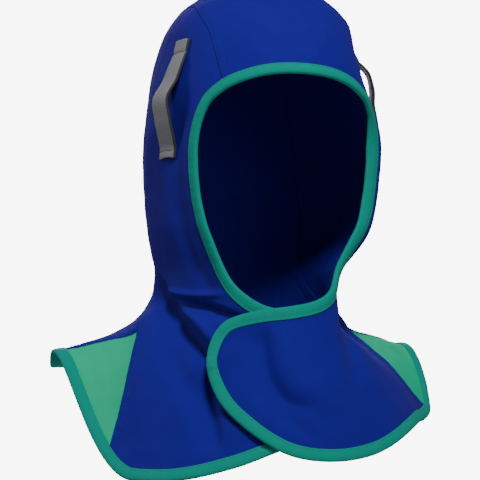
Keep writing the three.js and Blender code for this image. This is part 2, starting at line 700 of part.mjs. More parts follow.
// The binding: a tape folded round the cloth's edge, its section swept along the stations.
function edgeBinding() {
  const stations = tapeStations();
  const nose = TAPE_FIT + TAPE;
  const rings = stations.map((station, i) => {
    const before = pointAt(stations[Math.max(i - 1, 0)]);
    const after = pointAt(stations[Math.min(i + 1, stations.length - 1)]);
    const { normal } = frameAt(station.angle, station.level);
    const inwards = after.sub(before).cross(normal).normalize();
    const end = walkInwards(station, inwards, TAPE_WIDTH);
    const endNormal = frameAt(end.angle, end.level).normal;
    const endRise = clothRise(station.sheet, end);
    const edgeRise = clothRise(station.sheet, station);
    const legPoint = (rise) => pointAt(end).addScaledVector(endNormal, rise + endRise);
    const edgePoint = (out, rise) =>
      pointAt(station).addScaledVector(inwards, -out).addScaledVector(normal, rise + edgeRise);
    return [
      legPoint(nose),
      edgePoint(0, nose),
      edgePoint(nose, 0),
      edgePoint(nose, -CLOTH),
      edgePoint(0, -CLOTH - nose),
      legPoint(-CLOTH - nose),
      legPoint(-CLOTH - TAPE_FIT),
      edgePoint(TAPE_FIT, -CLOTH - TAPE_FIT),
      edgePoint(TAPE_FIT, TAPE_FIT),
      legPoint(TAPE_FIT),
    ];
  });
  const size = rings[0].length;
  const triangles = [];
  for (let i = 0; i < rings.length - 1; i++) {
    for (let k = 0; k < size; k++) {
      const a = i * size + k;
      const b = i * size + ((k + 1) % size);
      // Faces that run from edge to leg are split the other way, as the cloth beside them is.
      const fromEdge = k === 4 || k === 8;
      if (fromEdge === stations[i].reversed) triangles.push([a, b, b + size], [a, b + size, a + size]);
      else triangles.push([a, b, a + size], [b, b + size, a + size]);
    }
  }
  // Each end is closed leg by leg.
  const legs = [[0, 1, 8, 9], [1, 2, 8], [2, 3, 7, 8], [3, 4, 7], [4, 5, 6, 7]];
  const last = (rings.length - 1) * size;
  for (const leg of legs) {
    for (let k = 1; k < leg.length - 1; k++) {
      triangles.push([leg[0], leg[k + 1], leg[k]]);
      triangles.push([last + leg[0], last + leg[k], last + leg[k + 1]]);
    }
  }
  return closedMesh("edge_binding", rings.flat(), triangles, TAPE_GREEN);
}

// A flat loop at the temple, lying on the cloth at both ends and standing off it between them.
function templeStrap(side) {
  const angles = STRAP_LINE.map((stop) => stop.angle);
  const levels = STRAP_LINE.map((stop) => stop.level);
  const rises = STRAP_LINE.map((stop) => stop[side]);
  const steps = 2 * (STRAP_LINE.length - 1);
  const grid = [];
  for (let i = 0; i <= steps; i++) {
    const place = i / 2;
    const angle = sign[side] * along(angles, place);
    const level = along(levels, place);
    const free = Math.max(along(rises, place), 0) * STRAP_RISE;
    const { normal } = frameAt(angle, level);
    const across = new THREE.Vector3(0, 0, 1).cross(normal).normalize();
    grid.push(
      [-0.5, -0.17, 0.17, 0.5].map((share) => {
        const spot = walk(angle, level, across, share * STRAP_WIDTH);
        const rise = free * (1 + STRAP_LEAN[side] * share) + SEAM_GAP + STRAP;
        return { ...spot, rise: rise + swellRise(spot.angle, spot.level) };
      }),
    );
  }
  return wall("strap_" + side, grid, STRAP, STRAP_GREY);
}

// The hidden pad that fastens the over flap to the under flap.
function frontClosure() {
  const steps = 6;
  const grid = [];
  for (let r = 0; r <= steps; r++) {
    const level = mix(CLOSURE.fromLevel, CLOSURE.toLevel, r / steps);
    const row = [];
    for (let c = 0; c <= steps; c++) {
      const angle = mix(CLOSURE.fromAngle, CLOSURE.toAngle, c / steps);
      row.push({ angle, level, rise: clothRise("left", { angle, level }) - CLOTH - PAD_FIT });
    }
    grid.push(row);
  }
  return wall("front_closure", grid, LAP_ROOM - 2 * PAD_FIT, PAD_GREY);
}

const PANELS = [
  { name: "center_panel", grid: centerPanelGrid(), look: CLOTH_BLUE },
  { name: "side_panel_right", grid: sidePanelGrid("right"), look: CLOTH_BLUE },
  { name: "side_panel_left", grid: sidePanelGrid("left"), look: CLOTH_BLUE },
  { name: "gusset_right", grid: gussetGrid("right"), look: GUSSET_GREEN },
  { name: "gusset_left", grid: gussetGrid("left"), look: GUSSET_GREEN },
];

function pushedFrom(neighbour, sample) {
  const away = pointAt(sample).sub(pointAt(neighbour)).normalize();
  return { ...walk(sample.angle, sample.level, away, LEAST_FIT), rise: sample.rise };
}

// A panel grown on both faces and along its edges by the least fit.
function grown({ name, grid, look }) {
  const wide = grid.map((row) => {
    const last = row.length - 1;
    return [pushedFrom(row[1], row[0]), ...row.slice(1, last), pushedFrom(row[last - 1], row[last])];
  });
  const end = wide.length - 1;
  const long = [
    wide[0].map((sample, i) => pushedFrom(wide[1][i], sample)),
    ...wide.slice(1, end),
    wide[end].map((sample, i) => pushedFrom(wide[end - 1][i], sample)),
  ];
  const raised = long.map((row) => row.map((sample) => ({ ...sample, rise: sample.rise + LEAST_FIT })));
  return asSolid(wall(name, raised, CLOTH + 2 * LEAST_FIT, look));
}

const cloth = PANELS.map(grown);
const hood = new THREE.Group();
for (const { name, grid, look } of PANELS) hood.add(wall(name, grid, CLOTH, look));
hood.add(templeStrap("right"));
hood.add(templeStrap("left"));
hood.add(cleared(edgeBinding(), cloth));
hood.add(cleared(frontClosure(), cloth));

export default hood;
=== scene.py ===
"""Cloth welding hood as it is worn, in woven cloth, folded tape and webbing.

The form is worked out in millimetres: +Z is up, the face looks along -Y, and the
wearer's left is +X. A place on the cloth is an angle in degrees, 0 at the front and
90 at the wearer's left, and a level from the apex (0) down to the hem (12).
"""
import math

import bpy
import numpy as np
from mathutils import Matrix, Vector


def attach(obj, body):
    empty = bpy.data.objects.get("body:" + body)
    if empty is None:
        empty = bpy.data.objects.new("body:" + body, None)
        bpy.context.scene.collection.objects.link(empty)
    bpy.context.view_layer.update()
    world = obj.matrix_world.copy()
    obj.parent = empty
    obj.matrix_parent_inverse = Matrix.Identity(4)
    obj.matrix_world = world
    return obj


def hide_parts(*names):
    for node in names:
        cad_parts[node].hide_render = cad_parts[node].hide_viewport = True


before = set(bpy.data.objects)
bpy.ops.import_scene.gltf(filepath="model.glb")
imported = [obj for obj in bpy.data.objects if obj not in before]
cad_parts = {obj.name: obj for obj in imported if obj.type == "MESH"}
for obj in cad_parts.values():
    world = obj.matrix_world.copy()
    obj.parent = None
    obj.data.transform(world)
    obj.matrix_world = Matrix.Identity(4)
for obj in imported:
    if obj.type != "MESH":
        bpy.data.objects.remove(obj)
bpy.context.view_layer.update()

# Sizes of the worn form, measured outside.
HEAD_WIDTH = 166
HEAD_DEPTH = 204
NECK_HEIGHT = 222
CAPE_WIDTH = 289
CAPE_DEPTH = 232
CAPE_DROP = 143
HEM_LIFT = 26
EDGE_TURN = 8

# Sizes of the material.
CLOTH = 1.6
TAPE = 0.8
TAPE_WIDTH = 8
FACE_TAPE = 0.86  # width of the tape where it is stretched round the face, as a share
FACE_EASE = 1.8  # how much wider the face opening is drawn by its stretched tape
STRAP = 2
STRAP_WIDTH = 18.4
STRAP_RISE = 10
EDGE_SHADE_SHARE = 0.455  # where the painted shade along the webbing's edges starts, as a share of its width

# Step from the under flap to the over flap, and the angles between which it is taken.
TAPE_FIT = 0.3
LAP_SLACK = 0.8
LAP_ROOM = 2 * (TAPE + TAPE_FIT) + LAP_SLACK
LAP_STEP = CLOTH + LAP_ROOM
LAP_START = -38
LAP_END = 2

# Lift of the hem towards the left shoulder: where it starts, its middle and its spread.
HEM_LEVEL = 12
LIFT_LEVEL = 8.5
LIFT_ANGLE = 52
LIFT_SPREAD = 34

# How heights change from the side to the front and to the back, over the cosine of the angle.
# The back has a short first step, the corner dip, which is a share of its whole change.
FRONT_CHANGE = 0.62
CORNER_CHANGE = 0.16
CORNER_DIP = 0.16
BACK_START = 0.5
BACK_CHANGE = 0.4

# Rings of the outer form from the apex to the hem, as shares of the sizes above.
RING_COLUMNS = "right left front back middle fall_front fall_side fall_back square".split()
RINGS = [
    ("head", 0.001, 0.001, 0.001, 0.001, 0, 0, 0, 0, 2),
    ("head", 0.157, 0.157, 0.142, 0.142, 0, 0.014, 0.014, 0.014, 2.05),
    ("head", 0.277, 0.277, 0.25, 0.26, 0, 0.052, 0.052, 0.052, 2.15),
    ("head", 0.392, 0.386, 0.358, 0.377, 0, 0.138, 0.138, 0.138, 2.25),
    ("head", 0.446, 0.428, 0.436, 0.451, 0, 0.25, 0.25, 0.25, 2.3),
    ("head", 0.485, 0.476, 0.485, 0.49, 0, 0.404, 0.404, 0.404, 2.3),
    ("head", 0.5, 0.506, 0.505, 0.495, 0.005, 0.602, 0.602, 0.602, 2.3),
    ("head", 0.482, 0.482, 0.505, 0.466, 0.034, 0.818, 0.818, 0.818, 2.25),
    ("head", 0.44, 0.38, 0.466, 0.417, 0.074, 1, 0.98, 0.99, 2.2),
    ("cape", 0.273, 0.249, 0.414, 0.358, 0.108, 0.222, 0.151, 0.18, 2.05),
    ("cape", 0.35, 0.36, 0.453, 0.401, 0.164, 0.5, 0.277, 0.43, 2),
    ("cape", 0.426, 0.436, 0.478, 0.457, 0.216, 0.75, 0.336, 0.655, 2.05),
    ("cape", 0.495, 0.505, 0.496, 0.504, 0.263, 1, 0.375, 0.835, 2.2),
]

# Broad swells: angle, level, their spreads, and the rise in millimetres.
SWELLS = [
    (62, 5.5, 20, 0.7, 4),  # left edge of the face opening
    (68, 4.4, 22, 1, -8),  # below the left temple strap
    (60, 8.4, 24, 0.7, -13),  # left side of the neck
    (66, 9.3, 28, 0.8, -9.5),  # hollow below the left jaw
    (90, 11.2, 14, 1.2, -4.5),  # top of the left shoulder
    (-62, 10.3, 16, 0.9, 3.5),  # chest, beside the long fold
]

# Folds. Depth is a rise in millimetres, so a valley is negative. Left and right are the half
# widths on either hand, looking along the fold from its first stop. A stop is an angle, a level
# and a share of the depth.
FOLDS = [
    {
        "name": "long valley on the right chest",
        "depth": -10.5, "left": 5, "right": 12,
        "stops": [(-100, 7.9, 0.15), (-93, 8.13, 0.4), (-86, 8.42, 0.75), (-74, 8.84, 0.9),
                  (-63.5, 9.08, 1), (-53.5, 9.33, 1), (-47, 9.53, 1), (-42.5, 9.75, 1),
                  (-39.5, 10.1, 0.95), (-36, 10.5, 0.8), (-33, 10.9, 0.6), (-30, 11.3, 0.4),
                  (-28.5, 11.65, 0.15)],
    },
    {
        "name": "ridge across the right neck",
        "depth": 2.8, "left": 2.4, "right": 2.6,
        "stops": [(-87, 8.42, 0.1), (-82.5, 8.43, 0.6), (-72, 8.46, 1), (-59.5, 8.43, 1), (-47.5, 8.41, 1),
                  (-41, 8.4, 0.9), (-36, 8.56, 0.7), (-30, 8.78, 0.5)],
    },
    {
        "name": "recess under that ridge",
        "depth": -5.5, "left": 3.2, "right": 5,
        "stops": [(-82, 8.56, 0.2), (-75, 8.62, 0.6), (-65, 8.64, 0.9), (-55.5, 8.68, 1), (-45, 8.8, 1.2),
                  (-37, 8.9, 1.1), (-30, 8.95, 0.6)],
    },
    {
        "name": "puffed cloth between the folds",
        "depth": 4, "left": 5, "right": 5,
        "stops": [(-68, 8.74, 0.3), (-61.5, 8.86, 0.8), (-54, 9.02, 1), (-48, 9.19, 1), (-44, 9.33, 0.9),
                  (-41.5, 9.44, 0.4)],
    },
    {
        "name": "soft valley beside the long one",
        "depth": -4.5, "left": 9, "right": 7,
        "stops": [(-64, 9.42, 0.4), (-57.5, 9.73, 1), (-48, 10.15, 1), (-41, 10.55, 0.8),
                  (-35.5, 10.93, 0.4)],
    },
    {
        "name": "bulge over the right shoulder seam",
        "depth": 2.6, "left": 13, "right": 13,
        "stops": [(-90, 8.95, 0.4), (-83, 9.3, 1), (-71, 9.75, 1), (-63.5, 10.28, 0.9), (-57.5, 10.85, 0.7),
                  (-53.5, 11.4, 0.4)],
    },
    {
        "name": "hollow beside the face opening",
        "depth": -3.6, "left": 12, "right": 11,
        "stops": [(-64, 4.9, 0.2), (-69, 5.5, 0.6), (-71, 6.05, 1), (-70.5, 6.55, 1), (-68.5, 6.95, 1),
                  (-65, 7.35, 1), (-60, 7.75, 1), (-52, 8.1, 0.6)],
    },
    {
        "name": "valley down the over flap",
        "depth": -5, "left": 6, "right": 12,
        "stops": [(-23.5, 9.0, 0.3), (-21.5, 9.28, 0.8), (-19.5, 9.7, 1), (-15.5, 10.15, 1),
                  (-9.5, 10.5, 0.9), (-3, 10.64, 0.5), (3, 10.7, 0.1)],
    },
    {
        "name": "swell beside that valley",
        "depth": 2, "left": 11, "right": 8,
        "stops": [(-11, 9.2, 0.5), (-10, 9.7, 1), (-5, 10.15, 1), (2, 10.4, 0.6), (8, 10.6, 0.2)],
    },
    {
        "name": "short dent above the hem of the over flap",
        "depth": -2.4, "left": 6, "right": 7,
        "stops": [(-11, 10.72, 0.3), (-7, 10.95, 1), (-2, 11.2, 1), (2, 11.42, 0.4)],
    },
    {
        "name": "dent beside the left shoulder",
        "depth": -5.2, "left": 10, "right": 12,
        "stops": [(43, 9, 0.6), (34, 9.3, 1), (26, 9.65, 0.9), (21, 10.05, 0.5), (17, 10.5, 0.1)],
    },
    {
        "name": "cloth running from the neck to the left shoulder",
        "depth": 4.5, "left": 7, "right": 7,
        "stops": [(90, 8.7, 0.3), (84, 8.9, 0.9), (79, 9.1, 1), (74, 9.3, 0.4)],
    },
    {
        "name": "dent above the face opening",
        "depth": -1.6, "left": 5, "right": 6,
        "stops": [(-41, 4.75, 0.2), (-36, 4.7, 1), (-30, 4.6, 1), (-22, 4.55, 0.2)],
    },
    {
        "name": "left flute of the back",
        "depth": -5, "left": 20, "right": 20,
        "stops": [(152, 9, 0.7), (151, 10, 1), (150, 11.2, 1), (150, 12, 1)],
    },
    {
        "name": "right flute of the back",
        "depth": -5, "left": 20, "right": 20,
        "stops": [(-154, 9, 0.7), (-152, 10, 1), (-150, 11.2, 1), (-150, 12, 1)],
    },
]

# Seam lines of both sides, row by row from the face opening over the crown to the front hem.
SEAM_COLUMNS = "right_angle right_level left_angle left_level round".split()
SEAM = [
    (40, 5.03, 40, 5.16, 1),
    (49, 4.05, 49, 4.05, 0.5),
    (55.5, 3.43, 55.5, 3.43, 0),
    (72.5, 2.7, 72.5, 2.7, 0),
    (92, 2.5, 92, 2.5, 0),
    (115, 2.75, 115, 2.75, 0),
    (132, 3.4, 132, 3.4, 0),
    (138, 4.5, 138, 4.5, 0.5),
    (138, 5.6, 138, 5.6, 1),
    (134, 6.6, 134, 6.6, 1),
    (128, 7.5, 128, 7.45, 1),
    (113, 8.4, 112, 8.2, 1),
    (93, 9.1, 94, 8.8, 1),
    (78.5, 9.7, 80, 9.3, 1),
    (74.5, 9.95, 75, 9.5, 1),
    (71.5, 10.2, 70, 9.7, 1),
    (69, 10.45, 66, 9.9, 1),
    (67, 10.7, 63, 10.15, 1),
    (65.5, 10.95, 61, 10.45, 1),
    (64.3, 11.2, 60, 10.8, 1),
    (63.2, 11.5, 60.5, 11.2, 1),
    (62.4, 11.75, 62.5, 11.6, 1),
    (62, 12, 65, 11.92, 1),
]
APEX_ROW = 13
LAST_ROW = 22
FOREHEAD_ROWS = APEX_ROW / 3
FACE_SAG = -0.36

# Back seam of each gusset: angle and level from its apex to the hem.
GUSSET_BACK = {
    "right": [(78.5, 9.7), (84, 10.3), (86.5, 11.1), (88.5, 12)],
    "left": [(80, 9.3), (84.5, 10.1), (86.5, 11), (87, 12)],
}

# Free edges of the side panels, row by row beside the seam: face opening, flap, then hem.
EDGE_COLUMNS = "right_angle right_level right_turn left_angle left_level left_turn".split()
EDGE = [
    (40, 5.03, 0, 40, 5.16, 0),
    (47, 5.2, 0, 45, 5.34, 0.2),
    (50.5, 5.36, 0, 47.5, 5.47, 0.5),
    (53, 5.54, 0, 49.5, 5.62, 0.8),
    (54.8, 5.76, 0, 50.8, 5.84, 1),
    (55.6, 6.05, 0, 51.3, 6.1, 1),
    (55.3, 6.37, 0, 51, 6.38, 1),
    (54.2, 6.68, 0, 49.5, 6.66, 1),
    (52, 7, 0, 46.5, 6.98, 0.9),
    (48.5, 7.38, 0, 42, 7.36, 0.75),
    (43, 7.85, 0, 35.5, 7.8, 0.5),
    (34.5, 8.32, 0, 24, 8.26, 0.2),
    (22, 8.7, 0, 9.5, 8.56, 0),
    (5, 8.84, 0, -7, 8.73, 0),
    (-10, 9.02, 0, -24, 8.84, 0),
    (-20, 9.4, 0, -38, 9.08, 0),
    (-22, 9.95, 0, -41.5, 9.6, 0),
    (-17, 10.6, 0, -36, 10.2, 0),
    (-7, 11.12, 0, -25, 10.85, 0),
    (9, 11.4, 0, -5, 11.58, 0),
    (24, 11.76, 0, 17, 11.78, 0),
    (40, 12, 0, 51, 11.62, 0),
    (62, 12, 0, 65, 11.92, 0),
]
FACE_ROWS = 12
BROW_ROWS = 3

# About how many millimetres one degree and one level are at the face opening.
DEGREE = 1.5
LEVEL = 34

# The tape's two ends meet at this row of the left edge, and the last lies on the first.
TAPE_JOIN = 16.6
TAPE_LAP = 12
TAPE_LAP_RISE = 0.95
CHIN_LEVEL = 8
TAPE_STITCH = 6.5
TAPE_SUNK = 0.62
TAPE_STEP = 1.6

# Temple straps: angle and level of the middle, and the rise of the right and the left strap
# off the cloth as a share of STRAP_RISE. The left one leans a little, by a share of its rise
# over its width. Both are sewn down at two places, counted along this table.
STRAP_LINE = [
    (72.6, 3.77, 0, 0),
    (73, 4.12, 0, 0.5),
    (72.6, 4.42, 0.22, 0.98),
    (73.3, 4.75, 0.4, 0.84),
    (74.5, 5.1, 0.95, 0.32),
    (75, 5.45, 0.7, 0.05),
    (76, 5.7, 0.3, 0),
    (77.2, 5.87, 0, 0),
    (77.5, 6.03, 0, 0),
]
STRAP_LEAN = {"right": 0, "left": 0.06}
STRAP_SEWN = (0.95, 7.3)
STRAP_STEPS = 96

# The hidden fastening between the flaps: its reach in angle and in level.
FASTENING_ANGLES = (-20, 8)
FASTENING_LEVELS = (9.45, 10.55)

SIGN = {"right": -1, "left": 1}


def along(column, place, even=False):
    """Smooth curve through a column of numbers. An even column meets the axis level."""
    column = np.asarray(column, float)
    place = np.asarray(place, float)
    last = len(column) - 1
    i = np.clip(np.floor(place).astype(int), 0, last - 1)
    f = place - i
    p1 = column[i]
    p2 = column[i + 1]
    before = p2 if even else 2 * p1 - p2
    p0 = np.where(i > 0, column[np.maximum(i - 1, 0)], before)
    p3 = np.where(i < last - 1, column[np.minimum(i + 2, last)], 2 * p2 - p1)
    bend = (2 * p0 - 5 * p1 + 4 * p2 - p3) * f**2 + (3 * p1 - p0 - 3 * p2 + p3) * f**3
    return 0.5 * (2 * p1 + (p2 - p0) * f + bend)


def ease(x):
    x = np.clip(x, 0, 1)
    return x * x * (3 - 2 * x)


def mix(a, b, share):
    return a + (b - a) * share


def bell(x):
    return np.exp(-x * x)


def turn_between(a, b):
    return (a - b + 180) % 360 - 180


def unit(v):
    return v / np.maximum(np.linalg.norm(v, axis=-1, keepdims=True), 1e-12)


def dot(a, b):
    return np.sum(a * b, axis=-1)


def lengths(points):
    """How far each of a line of points is along it."""
    steps = np.linalg.norm(np.diff(points, axis=0), axis=-1)
    return np.concatenate([[0], np.cumsum(steps)])


def waves(at, *spacings):
    total = 1
    for spacing in spacings:
        total = total * np.sin(at * 2 * math.pi / spacing)
    return total


def table(names, rows):
    return {name: np.array([row[i] for row in rows], float) for i, name in enumerate(names)}


def real_rings():
    rows = []
    for part, right, left, front, back, middle, *falls, square in RINGS:
        head = part == "head"
        width = HEAD_WIDTH if head else CAPE_WIDTH
        depth = HEAD_DEPTH if head else CAPE_DEPTH
        above = 0 if head else NECK_HEIGHT
        drop = NECK_HEIGHT if head else CAPE_DROP
        heights = [CLOTH - above - fall * drop for fall in falls]
        spans = [right * width, left * width, front * depth, back * depth, middle * depth]
        rows.append([*spans, *heights, square])
    return rows


ring = table(RING_COLUMNS, real_rings())
seam = table(SEAM_COLUMNS, SEAM)
edge = table(EDGE_COLUMNS, EDGE)


def form_point(angle, level):
    """A point of the plain form."""
    angle, level = np.broadcast_arrays(np.asarray(angle, float), np.asarray(level, float))
    c = np.cos(np.radians(angle))
    s = np.sin(np.radians(angle))
    power = 2 / along(ring["square"], level)
    middle = along(ring["middle"], level)
    side = np.where(s > 0, along(ring["left"], level), along(ring["right"], level))
    reach = np.where(c > 0, along(ring["front"], level) + middle, along(ring["back"], level) - middle)
    x = side * np.sign(s) * np.abs(s) ** power
    y = middle - reach * np.sign(c) * np.abs(c) ** power
    fall_side = along(ring["fall_side"], level, True)
    fall_front = along(ring["fall_front"], level, True)
    fall_back = along(ring["fall_back"], level, True)
    front = mix(fall_side, fall_front, ease(c / FRONT_CHANGE))
    behind = CORNER_DIP * ease(-c / CORNER_CHANGE)
    behind = behind + (1 - CORNER_DIP) * ease((-c - BACK_START) / BACK_CHANGE)
    back = mix(fall_side, fall_back, behind)
    turned = turn_between(angle, LIFT_ANGLE) / LIFT_SPREAD
    lift = HEM_LIFT * ease((level - LIFT_LEVEL) / (HEM_LEVEL - LIFT_LEVEL)) * bell(turned)
    return np.stack([x, y, np.where(c > 0, front, back) + lift], -1)


def to_chart(angle, level):
    """A place as flat coordinates about the apex."""
    angle = np.radians(angle)
    return level * np.sin(angle), -level * np.cos(angle)


def from_chart(across, back):
    return np.degrees(np.arctan2(across, -back)), np.hypot(across, back)


def frame_at(angle, level):
    """Tangents and outward normal of the form, on its chart unrolled about the apex."""
    across, back = to_chart(angle, level)
    step = 0.02

    def point(a, b):
        return form_point(*from_chart(a, b))

    along_across = (point(across + step, back) - point(across - step, back)) / (2 * step)
    along_back = (point(across, back + step) - point(across, back - step)) / (2 * step)
    normal = unit(np.cross(along_across, along_back))
    return across, back, along_across, along_back, normal


def walk(angle, level, direction, distance):
    """The place reached by walking a distance over the form in a direction."""
    across, back, e1, e2, _ = frame_at(angle, level)
    aa = dot(e1, e1)
    ab = dot(e1, e2)
    bb = dot(e2, e2)
    da = dot(e1, direction)
    db = dot(e2, direction)
    scale = distance / (aa * bb - ab * ab)
    return from_chart(across + (da * bb - db * ab) * scale, back + (db * aa - da * ab) * scale)


def seam_place(side, row):
    angle = SIGN[side] * along(seam[side + "_angle"], row)
    return angle, along(seam[side + "_level"], row)


def gusset_back_place(side, row):
    keys = GUSSET_BACK[side]
    place = (row - APEX_ROW) / (LAST_ROW - APEX_ROW) * (len(keys) - 1)
    angle = along([key[0] for key in keys], place)
    return SIGN[side] * angle, along([key[1] for key in keys], place)


def back_seam_place(side, row):
    row = np.asarray(row, float)
    crown = seam_place(side, row)
    cape = gusset_back_place(side, row)
    return np.where(row < APEX_ROW, crown[0], cape[0]), np.where(row < APEX_ROW, crown[1], cape[1])


def edge_place(side, row):
    """A place on the free edge. Its face part is drawn outwards, and its brow upwards."""
    outwards = FACE_EASE / DEGREE * ease((FACE_ROWS - row) / 2) * ease(row / 2)
    upwards = FACE_EASE / LEVEL * ease((BROW_ROWS - row) / BROW_ROWS)
    angle = SIGN[side] * (along(edge[side + "_angle"], row) + outwards)
    return angle, along(edge[side + "_level"], row) - upwards


def edge_roll(side, row):
    return along(edge[side + "_turn"], row)


def center_place(row, share):
    """A place on the centre panel, from its right seam (share 0) to its left seam (share 1)."""
    right = back_seam_place("right", row)
    left = back_seam_place("left", row)
    # The first rows cross the forehead, and the others go round the back.
    left_angle = np.where(row < FOREHEAD_ROWS, left[0], left[0] - 360)
    sag = np.maximum(1 - row, 0) * (FACE_SAG * 4 * share * (1 - share) - FACE_EASE / LEVEL)
    ring_place = to_chart(mix(right[0], left_angle, share), mix(right[1], left[1], share) + sag)
    start = to_chart(*right)
    end = to_chart(*left)
    follow = np.clip(along(seam["round"], row), 0, 1)
    return from_chart(
        mix(mix(start[0], end[0], share), ring_place[0], follow),
        mix(mix(start[1], end[1], share), ring_place[1], follow),
    )


def gusset_place(side, row, share):
    start = seam_place(side, row)
    end = gusset_back_place(side, row)
    return mix(start[0], end[0], share), mix(start[1], end[1], share)


def side_place(side, row, share):
    """A place on a side panel, from its seam (share 0) to its free edge (share 1)."""
    start = seam_place(side, row)
    end = edge_place(side, row)
    return mix(start[0], end[0], share), mix(start[1], end[1], share)


class Line:
    """A line of places on the form that finds, for any points, its nearest stop."""

    def __init__(self, angle, level, **values):
        self.angle, self.level = np.broadcast_arrays(np.asarray(angle, float), np.asarray(level, float))
        self.points = form_point(self.angle, self.level)
        self.length = lengths(self.points)
        self.tangent = unit(np.gradient(self.points, axis=0))
        self.normal = frame_at(self.angle, self.level)[-1]
        self.values = {name: np.broadcast_to(value, self.angle.shape) for name, value in values.items()}

    def nearest(self, points):
        """For each point, the index of its nearest stop, its distance and how far along it lies."""
        flat = points.reshape(-1, 3)
        index = np.empty(len(flat), int)
        block = 4000
        for start in range(0, len(flat), block):
            some = flat[start:start + block]
            squared = np.sum((some[:, None, :] - self.points[None, :, :]) ** 2, axis=-1)
            index[start:start + block] = np.argmin(squared, axis=1)
        away = flat - self.points[index]
        lengthwise = dot(away, self.tangent[index])
        distance = np.sqrt(np.maximum(dot(away, away) - lengthwise**2, 0))
        past = np.where((index == 0) | (index == len(self.points) - 1), np.abs(lengthwise), 0)
        distance = np.hypot(distance, past)
        shape = points.shape[:-1]
        at = self.length[index] + lengthwise
        return index.reshape(shape), distance.reshape(shape), at.reshape(shape)

    def on_left(self, points, index):
        """Whether points lie on the left hand, looking along the line."""
        across = np.cross(self.normal, self.tangent)[index]
        return dot(points - self.points[index], across) > 0


def smooth_line(stops):
    columns = np.array(stops, float).T
    steps = 12
    place = np.linspace(0, len(stops) - 1, steps * (len(stops) - 1) + 1)
    return [along(column, place) for column in columns]


rows_fine = np.linspace(0, LAST_ROW, 700)
shares = np.linspace(0, 1, 240)
hem_parts = [
    gusset_place("right", LAST_ROW, shares[::4]),
    center_place(LAST_ROW, shares),
    gusset_place("left", LAST_ROW, shares[::4]),
    center_place(0, shares[::2]),
]
FREE_EDGE = {
    "right": Line(*edge_place("right", rows_fine), roll=edge_roll("right", rows_fine)),
    "left": Line(*edge_place("left", rows_fine), roll=edge_roll("left", rows_fine)),
    "middle": Line(
        np.concatenate([part[0] for part in hem_parts]),
        np.concatenate([part[1] for part in hem_parts]),
        roll=0,
    ),
}
crown_rows = np.linspace(0, APEX_ROW, 500)
cape_rows = np.linspace(APEX_ROW, LAST_ROW, 200)
SEAM_LINE = {}
for one_side in SIGN:
    SEAM_LINE["crown_" + one_side] = Line(*seam_place(one_side, crown_rows))
    SEAM_LINE["front_" + one_side] = Line(*seam_place(one_side, cape_rows))
    SEAM_LINE["back_" + one_side] = Line(*gusset_back_place(one_side, cape_rows))
FOLD_LINES = []
for fold in FOLDS:
    fold_angle, fold_level, fold_share = smooth_line(fold["stops"])
    FOLD_LINES.append((fold, Line(fold_angle, fold_level, share=fold_share)))


# Close to the edge, folds flatten to a share of their depth. Ripples are heights.
EDGE_BAND = 2 * TAPE_WIDTH
FOLD_AT_EDGE = 0.15
LONG_RIPPLE = 0.5
SHORT_RIPPLE = 0.16


def ripple(points, size, seed):
    """Smooth, repeatable unevenness between -1 and 1, about size millimetres from crest to crest."""
    total = 0
    for k in range(5):
        a = 2.399 * (k + 1) + seed
        b = 1.1 + 0.63 * k + 0.37 * seed
        way = np.array([math.cos(a) * math.sin(b), math.sin(a) * math.sin(b), math.cos(b)])
        total = total + np.sin(points @ way * (2 * math.pi / (size * (0.8 + 0.13 * k))) + 1.7 * k + seed)
    return total / 3.2


def fold_rise(points):
    total = np.zeros(points.shape[:-1])
    for fold, line in FOLD_LINES:
        index, distance, _ = line.nearest(points)
        width = np.where(line.on_left(points, index), fold["left"], fold["right"])
        total += fold["depth"] * line.values["share"][index] * bell(distance / width)
    return total


def swell_rise(angle, level):
    total = 0
    for at_angle, at_level, spread_angle, spread_level, rise in SWELLS:
        a = turn_between(angle, at_angle) / spread_angle
        l = (level - at_level) / spread_level
        total = total + rise * np.exp(-a * a - l * l)
    return total


def lap_rise(side, angle):
    over = LAP_STEP * ease((LAP_END - angle) / (LAP_END - LAP_START))
    return over if side == "left" else over - LAP_STEP


def cloth_rise(sheet, angle, level):
    """How far a sheet of cloth lies off the plain form at a place, in millimetres."""
    points = form_point(angle, level)
    line = FREE_EDGE[sheet]
    index, distance, _ = line.nearest(points)
    free = ease((distance - TAPE_WIDTH) / EDGE_BAND)
    near_edge = np.maximum(1 - distance / EDGE_BAND, 0)
    rise = swell_rise(angle, level) + fold_rise(points) * mix(FOLD_AT_EDGE, 1, free)
    rise = rise + LONG_RIPPLE * ripple(points, 46, 1) * free + SHORT_RIPPLE * ripple(points, 17, 2)
    rise = rise - EDGE_TURN * line.values["roll"][index] * near_edge**2
    if sheet != "middle":
        rise = rise + lap_rise(sheet, angle)
    return rise


# At a seam, the sheet that lies on top has a raised band along it, with two rows of stitches.
TOP_BAND = 6.5
BAND_RISE = 0.4
SEAM_ROWS = (1.6, TOP_BAND - 0.9)
SEAM_STITCH = 3
GROOVE = 0.2
GROOVE_WIDTH = 0.6
UNDER_GROOVE = 0.12
ALLOWANCE = 0.8
PUCKERS = (7.3, 31)
ON_TOP = {
    "center": ["crown_right", "crown_left", "back_right", "back_left"],
    "right": ["front_right"],
    "left": ["front_left"],
    "gusset_right": [],
    "gusset_left": [],
}
UNDER = {
    "center": [],
    "right": ["crown_right"],
    "left": ["crown_left"],
    "gusset_right": ["front_right", "back_right"],
    "gusset_left": ["front_left", "back_left"],
}


